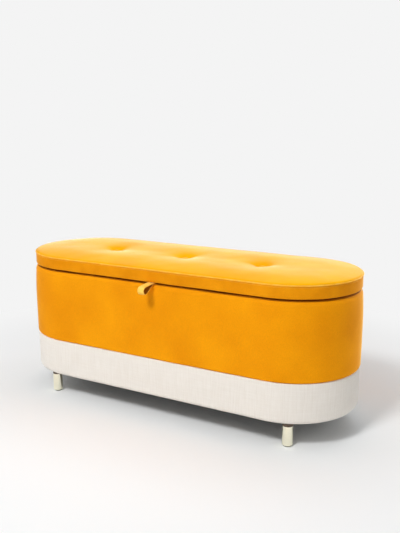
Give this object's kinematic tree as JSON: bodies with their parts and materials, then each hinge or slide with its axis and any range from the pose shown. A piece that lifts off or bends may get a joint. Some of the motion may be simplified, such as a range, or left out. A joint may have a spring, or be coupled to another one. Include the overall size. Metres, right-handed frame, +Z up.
{
  "type": "ottoman with storage",
  "caption": "Upholstered storage bench with rounded ends, a tufted padded lid hinged at the back on sliding stays, a linen plinth and metal-capped turned legs.",
  "frame": {"origin": "on the floor, under the middle of the box's plan", "axes": "+X along the bench to its right end seen from the front, +Y to the back where the lid is hinged, +Z up; the pull tab faces -Y"},
  "size_m": [1.1, 0.4565, 0.466],
  "materials": {
    "velvet": "short-pile velvet, mustard yellow",
    "velvet_piping": "velvet-covered piping, mustard yellow",
    "linen": "plain-weave linen, off-white",
    "lining_cloth": "woven lining, dark",
    "dust_cloth": "spun-bonded dust cloth, black",
    "foam": "open-cell foam and wadding",
    "plywood": "sanded plywood",
    "softwood": "sawn softwood",
    "hardboard": "smooth hardboard",
    "stained_wood": "dark stained, satin",
    "polished_brass": "polished",
    "black_nylon": "matte",
    "felt": "pressed felt",
    "twine": "waxed twine",
    "black_tube": "satin black",
    "chromed_rod": "polished",
    "plated_steel": "zinc plated"
  },
  "bodies": {
    "box": {"base_panel": "plywood", "box_cover": "velvet", "bumpers": "felt", "dust_cover": "dust_cloth", "ferrule_back_left": "polished_brass", "ferrule_back_right": "polished_brass", "ferrule_front_left": "polished_brass", "ferrule_front_right": "polished_brass", "floor_lining": "lining_cloth", "glides": "black_nylon", "hinge_box_leaves": "plated_steel", "hinge_box_screws": "plated_steel", "hinge_pins": "plated_steel", "leg_back_left": "stained_wood", "leg_back_right": "stained_wood", "leg_bolts": "plated_steel", "leg_front_left": "stained_wood", "leg_front_right": "stained_wood", "plinth_cover": "linen", "plinth_wadding": "foam", "strut_feet": "plated_steel", "strut_foot_screws": "plated_steel", "tee_nuts": "plated_steel", "top_ring": "plywood", "wall_foam": "foam", "wall_lining": "lining_cloth", "wall_skin": "hardboard", "wall_studs": "softwood"},
    "lid": {"button_left": "velvet", "button_middle": "velvet", "button_right": "velvet", "button_ties": "twine", "hinge_lid_leaves": "plated_steel", "hinge_lid_screws": "plated_steel", "lid_band": "velvet", "lid_board": "plywood", "lid_cover": "velvet", "lid_foam": "foam", "lid_lining": "lining_cloth", "lid_piping": "velvet_piping", "pull_tab": "velvet", "strut_head_screws": "plated_steel", "strut_heads": "plated_steel", "tie_washers": "plated_steel"},
    "stay_tube_left": {"strut_eye_low_left": "plated_steel", "strut_gland_left": "black_nylon", "strut_tube_left": "black_tube"},
    "stay_rod_left": {"strut_eye_high_left": "plated_steel", "strut_piston_left": "black_nylon", "strut_rod_left": "chromed_rod"},
    "stay_tube_right": {"strut_eye_low_right": "plated_steel", "strut_gland_right": "black_nylon", "strut_tube_right": "black_tube"},
    "stay_rod_right": {"strut_eye_high_right": "plated_steel", "strut_piston_right": "black_nylon", "strut_rod_right": "chromed_rod"}
  },
  "joints": [
    {"name": "lid_hinge", "type": "hinge", "parent": "box", "child": "lid", "pos_m": [0, 0.204, 0.418], "axis": [-1, 0, 0], "range_deg": [0, 75]},
    {"name": "stay_tube_left_pivot", "type": "hinge", "parent": "box", "child": "stay_tube_left", "pos_m": [-0.32, 0.13911, 0.21828], "axis": [-1, 0, 0], "range_deg": [0, 37.5]},
    {"name": "stay_rod_left_pivot", "type": "hinge", "parent": "lid", "child": "stay_rod_left", "pos_m": [-0.32, -0.00561, 0.40518], "axis": [-1, 0, 0], "range_deg": [-37.5, 0]},
    {"name": "stay_tube_right_pivot", "type": "hinge", "parent": "box", "child": "stay_tube_right", "pos_m": [0.32, 0.13911, 0.21828], "axis": [-1, 0, 0], "range_deg": [0, 37.5]},
    {"name": "stay_rod_right_pivot", "type": "hinge", "parent": "lid", "child": "stay_rod_right", "pos_m": [0.32, -0.00561, 0.40518], "axis": [-1, 0, 0], "range_deg": [-37.5, 0]}
  ],
  "couplings": [
    {"joint": "stay_tube_left_pivot", "follows": "lid_hinge", "ratio": 0.5},
    {"joint": "stay_rod_left_pivot", "follows": "lid_hinge", "ratio": -0.5},
    {"joint": "stay_tube_right_pivot", "follows": "lid_hinge", "ratio": 0.5},
    {"joint": "stay_rod_right_pivot", "follows": "lid_hinge", "ratio": -0.5}
  ]
}
